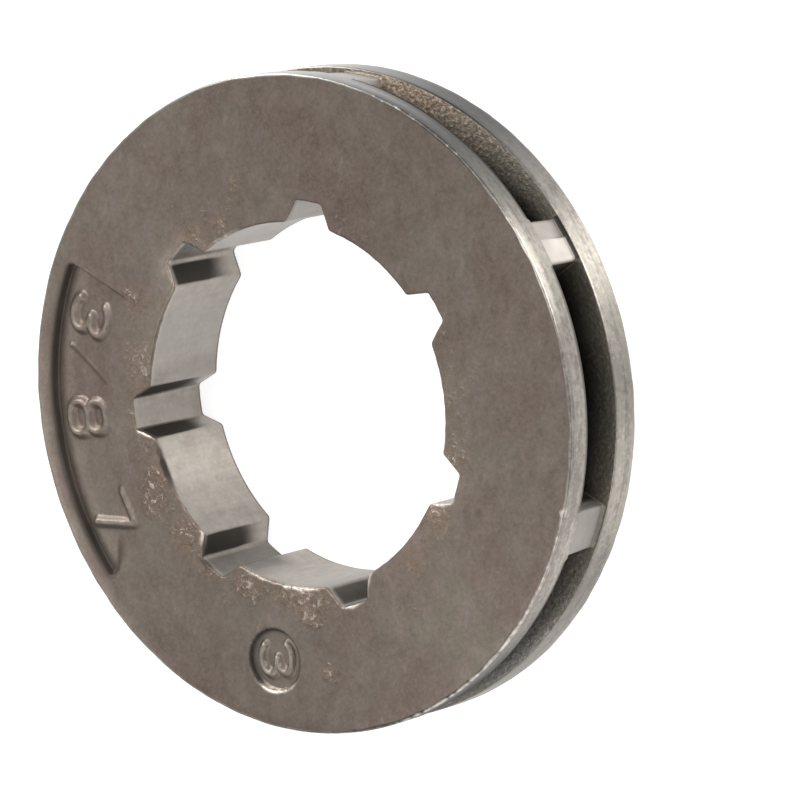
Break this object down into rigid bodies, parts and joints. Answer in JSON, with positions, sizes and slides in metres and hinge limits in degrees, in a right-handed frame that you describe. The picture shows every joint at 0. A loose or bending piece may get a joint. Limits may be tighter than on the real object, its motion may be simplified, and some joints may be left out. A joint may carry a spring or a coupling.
{
  "type": "chain sprocket",
  "caption": "Round one-piece rim sprocket: two flat flanges joined by short teeth that leave pockets for a saw chain's drive links, on a splined through bore.",
  "frame": {"origin": "on the bore's axis, in the plane of the back face that it lies on", "axes": "+Z along the bore's axis, out of the front face with the sunk size panel; +X through the middle of a tooth and of the spline groove under it"},
  "size_m": [0.036, 0.036, 0.0061],
  "materials": {
    "cast_steel": "satin, with a brownish cast skin on the faces and brighter turned rims"
  },
  "bodies": {
    "root": {"rim_sprocket": "cast_steel"}
  },
  "joints": []
}
